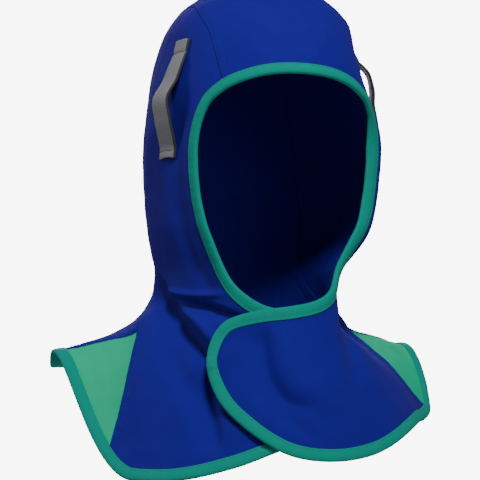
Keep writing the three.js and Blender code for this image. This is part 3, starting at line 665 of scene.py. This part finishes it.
def seam_rise(piece, sheet, points):
    """Height of the sewn seams on the face of a piece."""
    # The relief fades out under the tape.
    shown = ease((FREE_EDGE[sheet].nearest(points)[1] - 5) / 6)
    total = np.zeros(points.shape[:-1])
    for name in ON_TOP[piece]:
        _, distance, at = SEAM_LINE[name].nearest(points)
        height = BAND_RISE * ease((TOP_BAND + 1 - distance) / 2)
        for groove_at in (0, *SEAM_ROWS):
            height = height - GROOVE * bell((distance - groove_at) / GROOVE_WIDTH)
        total += (height + 0.12 * waves(at, *PUCKERS) * bell((distance - 3) / 6)) * shown
    for name in UNDER[piece]:
        _, distance, at = SEAM_LINE[name].nearest(points)
        pucker = 0.1 * waves(at, *PUCKERS) * bell(distance / 6)
        total += (pucker - UNDER_GROOVE * bell(distance / (2 * GROOVE_WIDTH))) * shown
    return total


def allowance(piece, points):
    """Extra thickness on the inside, where the turned edges are sewn down."""
    total = np.zeros(points.shape[:-1])
    for name in ON_TOP[piece]:
        distance = SEAM_LINE[name].nearest(points)[1]
        total += ALLOWANCE * ease((TOP_BAND + 1 - distance) / 1.2)
    return total


def surface(angle, level, rise):
    normal = frame_at(angle, level)[-1]
    return form_point(angle, level) + normal * np.asarray(rise)[..., None]


def grid_faces(rows, count, start=0, flip=False):
    r, c = np.meshgrid(np.arange(rows - 1), np.arange(count - 1), indexing="ij")
    a = (start + r * count + c).ravel()
    quads = np.stack([a, a + count, a + count + 1, a + 1], -1)
    return quads[:, ::-1] if flip else quads


def add_mesh(name, points, faces, material, uv=None):
    """A new object from points in millimetres and lists of their indices."""
    mesh = bpy.data.meshes.new(name)
    points = np.asarray(points, float).reshape(-1, 3)
    mesh.from_pydata((points * 0.001).tolist(), [], faces)
    if uv is not None:
        layer = mesh.uv_layers.new(name="cloth")
        corner = np.empty(len(mesh.loops), np.int32)
        mesh.loops.foreach_get("vertex_index", corner)
        layer.data.foreach_set("uv", uv[corner].astype(np.float32).ravel())
    mesh.polygons.foreach_set("use_smooth", np.full(len(mesh.polygons), True))
    mesh.materials.append(material)
    mesh.update()
    thing = bpy.data.objects.new(name, mesh)
    bpy.context.scene.collection.objects.link(thing)
    return thing


def wall(name, outer, inner, uv, material):
    """A closed sheet between an outer and an inner grid of points."""
    rows, count = outer.shape[:2]
    mid = (rows // 2, count // 2)
    around = np.cross(outer[mid[0] + 1, mid[1]] - outer[mid], outer[mid[0], mid[1] + 1] - outer[mid])
    flip = dot(around, outer[mid] - inner[mid]) < 0
    size = rows * count
    border = np.concatenate([
        np.arange(count),
        np.arange(1, rows) * count + count - 1,
        (rows - 1) * count + np.arange(count - 2, -1, -1),
        np.arange(rows - 2, 0, -1) * count,
    ])
    following = np.roll(border, -1)
    rim = np.stack([border, following, following + size, border + size], -1)
    faces = np.concatenate([
        grid_faces(rows, count, 0, flip),
        grid_faces(rows, count, size, not flip),
        rim[:, ::-1] if flip else rim,
    ])
    points = np.concatenate([outer.reshape(-1, 3), inner.reshape(-1, 3)])
    return add_mesh(name, points, faces.tolist(), material, np.concatenate([uv.reshape(-1, 2)] * 2))


def cloth_piece(name, piece, sheet, angle, level, uv, material):
    points = form_point(angle, level)
    rise = cloth_rise(sheet, angle, level)
    face = rise + seam_rise(piece, sheet, points)
    back = rise - CLOTH - allowance(piece, points)
    return wall(name, surface(angle, level, face), surface(angle, level, back), uv, material)


def arc_uv(angle, level):
    """Flat coordinates of a grid in centimetres, measured along its rows and middle column."""
    points = form_point(angle, level)
    steps = np.linalg.norm(np.diff(points, axis=1), axis=-1)
    u = np.concatenate([np.zeros((len(points), 1)), np.cumsum(steps, axis=1)], axis=1)
    u = u - u[:, [u.shape[1] // 2]]
    v = lengths(points[:, points.shape[1] // 2])
    return np.stack([u, np.broadcast_to(v[:, None], u.shape)], -1) * 0.1


def ring_uv(angle, level, degree=1.7, step=31):
    """Flat coordinates in centimetres, from the millimetres in one degree and in one level."""
    return np.stack([angle * degree, level * step], -1) * 0.1


def srgb(red, green, blue):
    def linear(value):
        value = value / 255
        return value / 12.92 if value <= 0.04045 else ((value + 0.055) / 1.055) ** 2.4

    return linear(red), linear(green), linear(blue), 1


class Nodes:
    """A material's node tree, filled in step by step."""

    def __init__(self, name):
        self.material = bpy.data.materials.new(name)
        self.material.use_nodes = True
        self.tree = self.material.node_tree
        self.shader = self.tree.nodes["Principled BSDF"]

    def add(self, kind, settings=None, **inputs):
        node = self.tree.nodes.new(kind)
        for key, value in (settings or {}).items():
            setattr(node, key, value)
        for key, value in inputs.items():
            self.feed(node.inputs[key.replace("_", " ")], value)
        return node

    def feed(self, socket, value):
        if isinstance(value, bpy.types.NodeSocket):
            self.tree.links.new(value, socket)
        else:
            socket.default_value = value

    def sum(self, operation, a, b):
        node = self.tree.nodes.new("ShaderNodeMath")
        node.operation = operation
        self.feed(node.inputs[0], a)
        self.feed(node.inputs[1], b)
        return node.outputs[0]


# Distance between the bands of a wave texture at scale 1.
WAVE_SPACING = 0.314


def woven(name, color, twill=0.055, roughness=0.85, bump=0.25, shade=0.14, rib=0.0, edge_shade_at=0.0):
    """Woven cloth: thread lines across its flat coordinates, a little uneven in tone, with painted shade
    where the weave dips.

    Webbing has ribs across it, and painted shade on its edges, from a given distance in centimetres off its
    middle.
    """
    nodes = Nodes(name)
    cloth = nodes.add("ShaderNodeTexCoord").outputs["UV"]
    lines = nodes.add(
        "ShaderNodeTexWave",
        {"wave_type": "BANDS", "bands_direction": "DIAGONAL"},
        Vector=cloth, Scale=WAVE_SPACING / twill, Distortion=0.6, Detail=1.0,
    ).outputs["Fac"]
    grain = nodes.add("ShaderNodeTexNoise", None, Vector=cloth, Scale=26.0, Detail=3.0).outputs["Fac"]
    patch = nodes.add("ShaderNodeTexNoise", None, Vector=cloth, Scale=0.7, Detail=3.0).outputs["Fac"]
    height = nodes.sum("ADD", nodes.sum("MULTIPLY", lines, 0.6), nodes.sum("MULTIPLY", grain, 0.5))
    if rib:
        ribs = nodes.add(
            "ShaderNodeTexWave",
            {"wave_type": "BANDS", "bands_direction": "Y"},
            Vector=cloth, Scale=WAVE_SPACING / rib, Distortion=0.3, Detail=1.0,
        ).outputs["Fac"]
        height = nodes.sum("ADD", height, nodes.sum("MULTIPLY", ribs, 0.8))
    depth = nodes.add("ShaderNodeBump", None, Height=height, Strength=bump, Distance=0.0004).outputs[0]
    value = nodes.sum("ADD", 1 - shade / 2, nodes.sum("MULTIPLY", nodes.sum("SUBTRACT", patch, 0.5), shade))
    # Lower parts of the weave, between threads and ribs, are darker: painted shade in the grooves.
    value = nodes.sum("ADD", value, nodes.sum("MULTIPLY", nodes.sum("SUBTRACT", height, 0.5), shade * 0.6))
    # Darker bands along both edges of the webbing: painted shade standing in for the strap's shaded edges.
    if edge_shade_at:
        side = nodes.add("ShaderNodeSeparateXYZ", None, Vector=cloth).outputs["X"]
        outside = nodes.sum("GREATER_THAN", nodes.sum("ABSOLUTE", side, 0.0), edge_shade_at)
        shaded = nodes.sum("SUBTRACT", 1.0, nodes.sum("MULTIPLY", outside, 0.8))
        value = nodes.sum("MULTIPLY", value, shaded)
    toned = nodes.add("ShaderNodeHueSaturation", None, Color=color, Value=value).outputs[0]
    nodes.feed(nodes.shader.inputs["Base Color"], toned)
    nodes.feed(nodes.shader.inputs["Roughness"], roughness)
    nodes.feed(nodes.shader.inputs["Normal"], depth)
    nodes.feed(nodes.shader.inputs["Specular IOR Level"], 0.15)
    return nodes.material


BLUE = woven("blue cotton", srgb(36, 18, 144))
GREEN = woven("green cotton", srgb(0, 194, 144))
TAPE_CLOTH = woven("green tape", srgb(0, 152, 134), twill=0.045, roughness=0.75)
WEBBING = woven(
    "grey webbing", srgb(134, 135, 140), twill=0.12, roughness=0.6, bump=0.3, shade=0.12,
    rib=0.16, edge_shade_at=STRAP_WIDTH * EDGE_SHADE_SHARE * 0.1,
)
PILE = woven("dark pile", srgb(38, 40, 46), twill=0.09, roughness=0.95, bump=0.6)
BLUE_THREAD = woven("blue thread", srgb(24, 56, 150), twill=0.03, roughness=0.6)
GREEN_THREAD = woven("green thread", srgb(40, 165, 132), twill=0.03, roughness=0.6)
GREY_THREAD = woven("grey thread", srgb(80, 82, 86), twill=0.03, roughness=0.6)


def keep(thing, node):
    """Hand a piece over, in place of its solid where it has one."""
    if node:
        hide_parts(node)
    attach(thing, "root")


# Rows and columns of points on a face of each piece.
SIDE_GRID = (390, 104)
GUSSET_GRID = (90, 56)
CENTER_GRID = (310, 140)


def grid(start, end, size):
    """Rows from start to end, and shares from 0 to 1."""
    return np.linspace(start, end, size[0])[:, None], np.linspace(0, 1, size[1])[None, :]


for one_side in SIGN:
    angle, level = side_place(one_side, *grid(0.1, LAST_ROW - 0.1, SIDE_GRID))
    uv = ring_uv(angle, level)
    panel = cloth_piece("side_cloth_" + one_side, one_side, one_side, angle, level, uv, BLUE)
    keep(panel, "side_panel_" + one_side)
    angle, level = gusset_place(one_side, *grid(APEX_ROW + 0.03, LAST_ROW, GUSSET_GRID))
    uv = ring_uv(angle, level, 2.3, 36)
    name = "gusset_cloth_" + one_side
    gusset = cloth_piece(name, "gusset_" + one_side, "middle", angle, level, uv, GREEN)
    keep(gusset, "gusset_" + one_side)

angle, level = center_place(*grid(0, LAST_ROW, CENTER_GRID))
uv = arc_uv(angle, level)
center = cloth_piece("crown_and_back_cloth", "center", "middle", angle, level, uv, BLUE)
keep(center, "center_panel")


def tape_route():
    """The whole free edge as places, each with the sheet it lies on, from one tape end to the other."""
    parts = []

    def add(place, sheet):
        parts.append((place[0], place[1], [sheet] * len(place[0])))

    rows_up = np.linspace(TAPE_JOIN, 0.02, 420)
    rows_down = np.linspace(0.02, LAST_ROW - 0.02, 560)
    rows_end = np.linspace(LAST_ROW - 0.02, TAPE_JOIN - 0.42, 200)
    across = np.linspace(0.004, 0.996, 110)
    hem = np.linspace(0.002, 0.998, 240)
    narrow = np.linspace(0.01, 0.99, 60)
    add(edge_place("left", rows_up), "left")
    add(center_place(0 * across, 1 - across), "middle")
    add(edge_place("right", rows_down), "right")
    add(gusset_place("right", LAST_ROW, narrow), "middle")
    add(center_place(LAST_ROW + 0 * hem, hem), "middle")
    add(gusset_place("left", LAST_ROW, 1 - narrow), "middle")
    add(edge_place("left", rows_end), "left")
    angle = np.concatenate([part[0] for part in parts])
    level = np.concatenate([part[1] for part in parts])
    sheets = np.array([name for part in parts for name in part[2]])
    return angle, level, sheets


def smoothed(values, kernel):
    """Values averaged with their neighbours."""
    padded = np.pad(values, len(kernel) // 2, mode="edge")
    return np.convolve(padded, kernel / kernel.sum(), mode="valid")


def resample(angle, level, sheets, spacing):
    """The same route with its places evenly spaced, and how far along it each is."""
    length = lengths(form_point(angle, level))
    at = np.linspace(0, length[-1], int(length[-1] / spacing))
    across, back = to_chart(angle, level)
    index = np.clip(np.searchsorted(length, at), 0, len(length) - 1)
    place = from_chart(np.interp(at, length, across), np.interp(at, length, back))
    return place[0], place[1], sheets[index], at


def rise_on(sheets, angle, level):
    rise = np.zeros(angle.shape)
    for name in FREE_EDGE:
        on = sheets == name
        if on.any():
            rise[on] = cloth_rise(name, angle[on], level[on])
    # The tape bridges the small steps between one sheet and the next.
    return smoothed(rise, np.hanning(9))


class Tape:
    """The folded tape: places and directions along the free edge at any distance inwards."""

    def __init__(self, spacing):
        self.angle, self.level, self.sheets, self.at = resample(*tape_route(), spacing)
        points = form_point(self.angle, self.level)
        normal = frame_at(self.angle, self.level)[-1]
        tangent = np.gradient(points, axis=0)
        tangent = unit(np.stack([smoothed(tangent[:, k], np.ones(7)) for k in range(3)], -1))
        self.inwards = unit(np.cross(tangent, normal))
        self.share = mix(FACE_TAPE, 1, ease((self.level - CHIN_LEVEL) / 0.8))
        self.lift = TAPE_LAP_RISE * ease((self.at - (self.at[-1] - TAPE_LAP)) / 4)
        self.layers = {}

    def layer(self, distance):
        """Base points, normals and rise of the cloth at a distance in from its edge."""
        if distance not in self.layers:
            angle, level = self.angle, self.level
            for _ in range(2):
                angle, level = walk(angle, level, self.inwards, distance * self.share / 2)
            normal = frame_at(angle, level)[-1]
            rise = rise_on(self.sheets, angle, level)
            self.layers[distance] = (form_point(angle, level), normal, rise)
        return self.layers[distance]

    def point(self, distance, height):
        """height is measured from the outer face of the cloth; distance below zero is past its edge."""
        base, normal, rise = self.layer(max(distance, 0))
        out = self.inwards * max(-distance, 0)
        return base + normal * (rise + height)[:, None] - out


def tape_mesh():
    """The tape as one closed band: its outer face, round the fold, its inner face and its hollow."""
    tape = Tape(TAPE_STEP)
    at = tape.at
    count = len(at)
    soft = 0.1 * waves(at, 9.1, 41) + 0.08 * waves(at, 5.3)
    nose = TAPE_FIT + TAPE
    inner_edge = TAPE_WIDTH - 0.1
    # Distance inwards, height over the cloth, and how far the tape puffs up between stitches.
    outer = [(TAPE_WIDTH, 0.12, 0), (inner_edge, 0.62, 0), (7.3, 0.92, 0.2), (TAPE_STITCH, TAPE_SUNK, 0),
             (5.6, 0.95, 0.6), (4, 1.25, 1), (2, 1.3, 1), (0.6, 1.15, 0.6), (0, nose * 0.9, 0.3)]
    points = []
    for distance, height, puff in outer:
        points.append(tape.point(distance, height + tape.lift + puff * soft))
    for turn in (40, 65, 90, 115, 140):
        out = nose * math.sin(math.radians(turn))
        rise = (CLOTH / 2 * 1.2 + nose - 0.3) * math.cos(math.radians(turn))
        points.append(tape.point(-out, rise - CLOTH / 2 + 0.3 * tape.lift))
    for distance, height, puff in outer[::-1]:
        points.append(tape.point(distance, -CLOTH - height - puff * soft))
    clear = 0.02
    inside = [(inner_edge, -CLOTH - clear), (0.2, -CLOTH - clear), (0.2, clear), (inner_edge, clear)]
    for distance, height in inside:
        points.append(tape.point(distance, np.full(count, height)))
    section = np.stack(points, 1)
    size = section.shape[1]
    i, k = np.meshgrid(np.arange(count - 1), np.arange(size), indexing="ij")
    a = (i * size + k).ravel()
    b = (i * size + (k + 1) % size).ravel()
    faces = np.stack([a, b, b + size, a + size], -1).tolist()
    faces.append(list(range(size))[::-1])
    faces.append([(count - 1) * size + k for k in range(size)])
    around = lengths(section[count // 2])
    uv = np.stack(np.broadcast_arrays(around[None, :], at[:, None]), -1).reshape(-1, 2) * 0.1
    return add_mesh("folded_tape", section, faces, TAPE_CLOTH, uv), tape


binding, tape = tape_mesh()
keep(binding, "edge_binding")


def along_line(values, at, spots):
    return np.stack([np.interp(spots, at, values[:, k]) for k in range(3)], -1)


def stitches(name, runs, material, length, radius):
    """Short threads along lines of points. Each run is points, normals, and the spacing."""
    sides = 6
    # Places along a thread, and its girth there, as shares of its length and radius.
    profile = [(-0.5, 0.25), (-0.36, 0.85), (0, 1), (0.36, 0.85), (0.5, 0.25)]
    points = []
    faces = []
    for line, normals, spacing in runs:
        at = lengths(line)
        centers = np.arange(spacing, at[-1] - spacing, spacing)
        spot = along_line(line, at, centers)
        way = unit(along_line(line, at, centers + 0.6) - spot)
        up = along_line(normals, at, centers)
        across = unit(np.cross(up, way))
        up = np.cross(way, across)
        for j in range(len(centers)):
            start = len(points)
            for share, girth in profile:
                arch = 0.12 * (1 - 4 * share * share) - 0.05
                middle = spot[j] + way[j] * share * length + up[j] * arch
                for s in range(sides):
                    turn = 2 * math.pi * s / sides
                    round_off = across[j] * math.cos(turn) + up[j] * math.sin(turn)
                    points.append(middle + round_off * radius * girth)
            for p in range(len(profile) - 1):
                for s in range(sides):
                    a = start + p * sides + s
                    b = start + p * sides + (s + 1) % sides
                    faces.append([a, b, b + sides, a + sides])
            faces.append([start + s for s in range(sides)][::-1])
            faces.append([start + (len(profile) - 1) * sides + s for s in range(sides)])
    keep(add_mesh(name, points, faces, material), None)


def seam_run(name, piece, sheet, towards, offset):
    """A line of stitches on a piece, offset from one of its seams towards its middle."""
    line = SEAM_LINE[name]
    middle = form_point(*towards)
    aim = unit(middle - line.points)
    inwards = unit(np.cross(line.normal, line.tangent))
    inwards = inwards * np.sign(dot(inwards, aim))[:, None]
    angle, level = walk(line.angle, line.level, inwards, offset)
    points = form_point(angle, level)
    clear = FREE_EDGE[sheet].nearest(points)[1] > TAPE_WIDTH + 1
    angle, level, points = angle[clear], level[clear], points[clear]
    rise = cloth_rise(sheet, angle, level) + seam_rise(piece, sheet, points)
    return surface(angle, level, rise + 0.1), frame_at(angle, level)[-1], SEAM_STITCH


blue_runs = []
for one_side in SIGN:
    across_crown = center_place(crown_rows, 0.5 + 0 * crown_rows)
    across_back = center_place(cape_rows, 0.5 + 0 * cape_rows)
    inside_front = side_place(one_side, cape_rows, 0.3 + 0 * cape_rows)
    for offset in SEAM_ROWS:
        blue_runs.append(seam_run("crown_" + one_side, "center", "middle", across_crown, offset))
        blue_runs.append(seam_run("back_" + one_side, "center", "middle", across_back, offset))
        blue_runs.append(seam_run("front_" + one_side, one_side, one_side, inside_front, offset))
stitches("seam_stitches", blue_runs, BLUE_THREAD, 2.3, 0.2)
tape_normal = tape.layer(TAPE_STITCH)[1]
on_top = tape.point(TAPE_STITCH, TAPE_SUNK + tape.lift)
below = tape.point(TAPE_STITCH, np.full(len(tape.at), -CLOTH - TAPE_SUNK))
green_runs = [(on_top, tape_normal, 2.9), (below, -tape_normal, 2.9)]
stitches("tape_stitches", green_runs, GREEN_THREAD, 2.2, 0.22)


def strap(side):
    """A flat loop of webbing, sewn down at both ends."""
    place = np.linspace(0, len(STRAP_LINE) - 1, STRAP_STEPS)
    columns = np.array(STRAP_LINE, float).T
    angle = SIGN[side] * along(columns[0], place)
    level = along(columns[1], place)
    free = np.maximum(along(columns[2 if side == "right" else 3], place), 0) * STRAP_RISE
    normal = frame_at(angle, level)[-1]
    across = unit(np.cross([0, 0, 1], normal))
    shares = np.array([-0.5, -0.49, -0.46, -0.3, -0.1, 0.1, 0.3, 0.46, 0.49, 0.5])
    edge_round = np.array([0.3, 0.12, 0.02, 0, 0, 0, 0, 0.02, 0.12, 0.3])
    sewn = 0.7 * bell((place - STRAP_SEWN[0]) / 0.12) + 0.35 * bell((place - STRAP_SEWN[1]) / 0.12)
    outer = []
    inner = []
    for share, cut in zip(shares, edge_round):
        at = walk(angle, level, across, share * STRAP_WIDTH)
        under = cloth_rise(side, *at)
        rise = free * (1 + STRAP_LEAN[side] * share)
        outer.append(surface(*at, under + rise + STRAP + 0.15 - cut - sewn))
        inner.append(surface(*at, under + rise + 0.12 + cut))
    outer = np.stack(outer, 1)
    inner = np.stack(inner, 1)
    long = lengths(outer[:, 5])
    uv = np.stack(np.broadcast_arrays(shares[None, :] * STRAP_WIDTH, long[:, None]), -1) * 0.1
    keep(wall("temple_strap_" + side, outer, inner, uv, WEBBING), "strap_" + side)
    return outer, normal


strap_runs = []
for one_side in SIGN:
    face, normal = strap(one_side)
    for sewn_at in STRAP_SEWN:
        station = round(sewn_at / (len(STRAP_LINE) - 1) * (STRAP_STEPS - 1))
        line = face[station, 1:-1]
        strap_runs.append((line, np.repeat(normal[station][None, :], len(line), axis=0), 1.7))
stitches("strap_stitches", strap_runs, GREY_THREAD, 1.4, 0.25)


def closure():
    """The plain pad between the two flaps, a little clear of both."""
    angle = np.linspace(*FASTENING_ANGLES, 40)[None, :]
    level = np.linspace(*FASTENING_LEVELS, 40)[:, None]
    angle, level = np.broadcast_arrays(angle, level)
    clear = 0.3
    top = surface(angle, level, cloth_rise("left", angle, level) - CLOTH - clear)
    bottom = surface(angle, level, cloth_rise("right", angle, level) + clear)
    keep(wall("flap_fastening", top, bottom, ring_uv(angle, level), PILE), "front_closure")


closure()

# Camera, in metres: in front, 20 degrees round to the wearer's right and 3 degrees below. The
# hood's middle is at a pixel column of its own, to the right of the picture's middle.
TURN = math.radians(-20)
TILT = math.radians(-3)
DISTANCE = 1.5
PIXEL = 0.00075
HALF_PICTURE = 240
HOOD_COLUMN = 261
right = np.array([math.cos(TURN), math.sin(TURN), 0])
back = np.array([math.sin(TURN) * math.cos(TILT), -math.cos(TURN) * math.cos(TILT), math.sin(TILT)])
up = np.cross(back, right)
target = right * (HALF_PICTURE - HOOD_COLUMN) * PIXEL + np.array([0, -0.005, -0.191])
camera_data = bpy.data.cameras.new("camera")
camera_data.sensor_fit = "HORIZONTAL"
camera_data.angle = 2 * math.atan(HALF_PICTURE * PIXEL / DISTANCE)
camera_data.clip_start = 0.05
camera_data.clip_end = 60
camera = bpy.data.objects.new("camera", camera_data)
bpy.context.scene.collection.objects.link(camera)
axes = Matrix((right.tolist(), up.tolist(), back.tolist())).transposed().to_4x4()
axes.translation = Vector((target + back * DISTANCE).tolist())
camera.matrix_world = axes
bpy.context.scene.camera = camera


def plain(name, color, glow=0.0):
    nodes = Nodes(name)
    nodes.feed(nodes.shader.inputs["Base Color"], color)
    nodes.feed(nodes.shader.inputs["Roughness"], 1.0)
    nodes.feed(nodes.shader.inputs["Specular IOR Level"], 0.0)
    if glow:
        nodes.feed(nodes.shader.inputs["Emission Color"], (1, 1, 1, 1))
        nodes.feed(nodes.shader.inputs["Emission Strength"], glow)
    return nodes.material


def flat(name, middle, along_x, along_y, material):
    """A square of the set, from its middle and the reach of its two halves, in metres."""
    corners = [middle + x * along_x + y * along_y for x, y in ((-1, -1), (1, -1), (1, 1), (-1, 1))]
    thing = add_mesh(name, np.array(corners) * 1000, [[0, 1, 2, 3]], material)


FLOOR_LEVEL = -1.6
FLOOR_REACH = 6
BACKDROP_AWAY = 12
BACKDROP_REACH = 1.8
BACKDROP_GLOW = 8.0
floor_middle = np.array([0, 0, FLOOR_LEVEL])
pale = plain("pale floor", (0.85, 0.85, 0.85, 1))
flat("floor", floor_middle, np.array([FLOOR_REACH, 0, 0]), np.array([0, FLOOR_REACH, 0]), pale)
white = plain("white backdrop", (1, 1, 1, 1), BACKDROP_GLOW)
flat("backdrop", target - back * BACKDROP_AWAY, right * BACKDROP_REACH, up * BACKDROP_REACH, white)


def area_light(name, place, size, power):
    """A light that faces the hood."""
    data = bpy.data.lights.new(name, "AREA")
    data.shape = "RECTANGLE"
    data.size = size[0]
    data.size_y = size[1]
    data.energy = power
    thing = bpy.data.objects.new(name, data)
    bpy.context.scene.collection.objects.link(thing)
    thing.location = place
    thing.rotation_euler = (Vector(place) - Vector(AIM)).to_track_quat("Z", "Y").to_euler()


# Lights: place in metres, width and height, power in watts.
AIM = (0, 0, -0.18)
LIGHTS = [
    ("key light", (-0.25, -1.4, 1.3), (0.45, 0.45), 36),
    ("fill light", (0.3, -2.0, 0.0), (0.8, 0.8), 4),
    ("rim light", (-1.4, 0.9, 0.5), (0.4, 0.8), 9),
    ("back light", (0.5, 2.2, 0.7), (1.2, 1.2), 26),
    ("left side light", (2.1, 0.8, 0.4), (1.0, 1.2), 4),
]
WORLD_LIGHT = 0.07
for name, place, size, power in LIGHTS:
    area_light(name, place, size, power)
world = bpy.data.worlds.new("world")
bpy.context.scene.world = world
world.use_nodes = True
background = world.node_tree.nodes["Background"]
background.inputs["Color"].default_value = (1, 1, 1, 1)
background.inputs["Strength"].default_value = WORLD_LIGHT
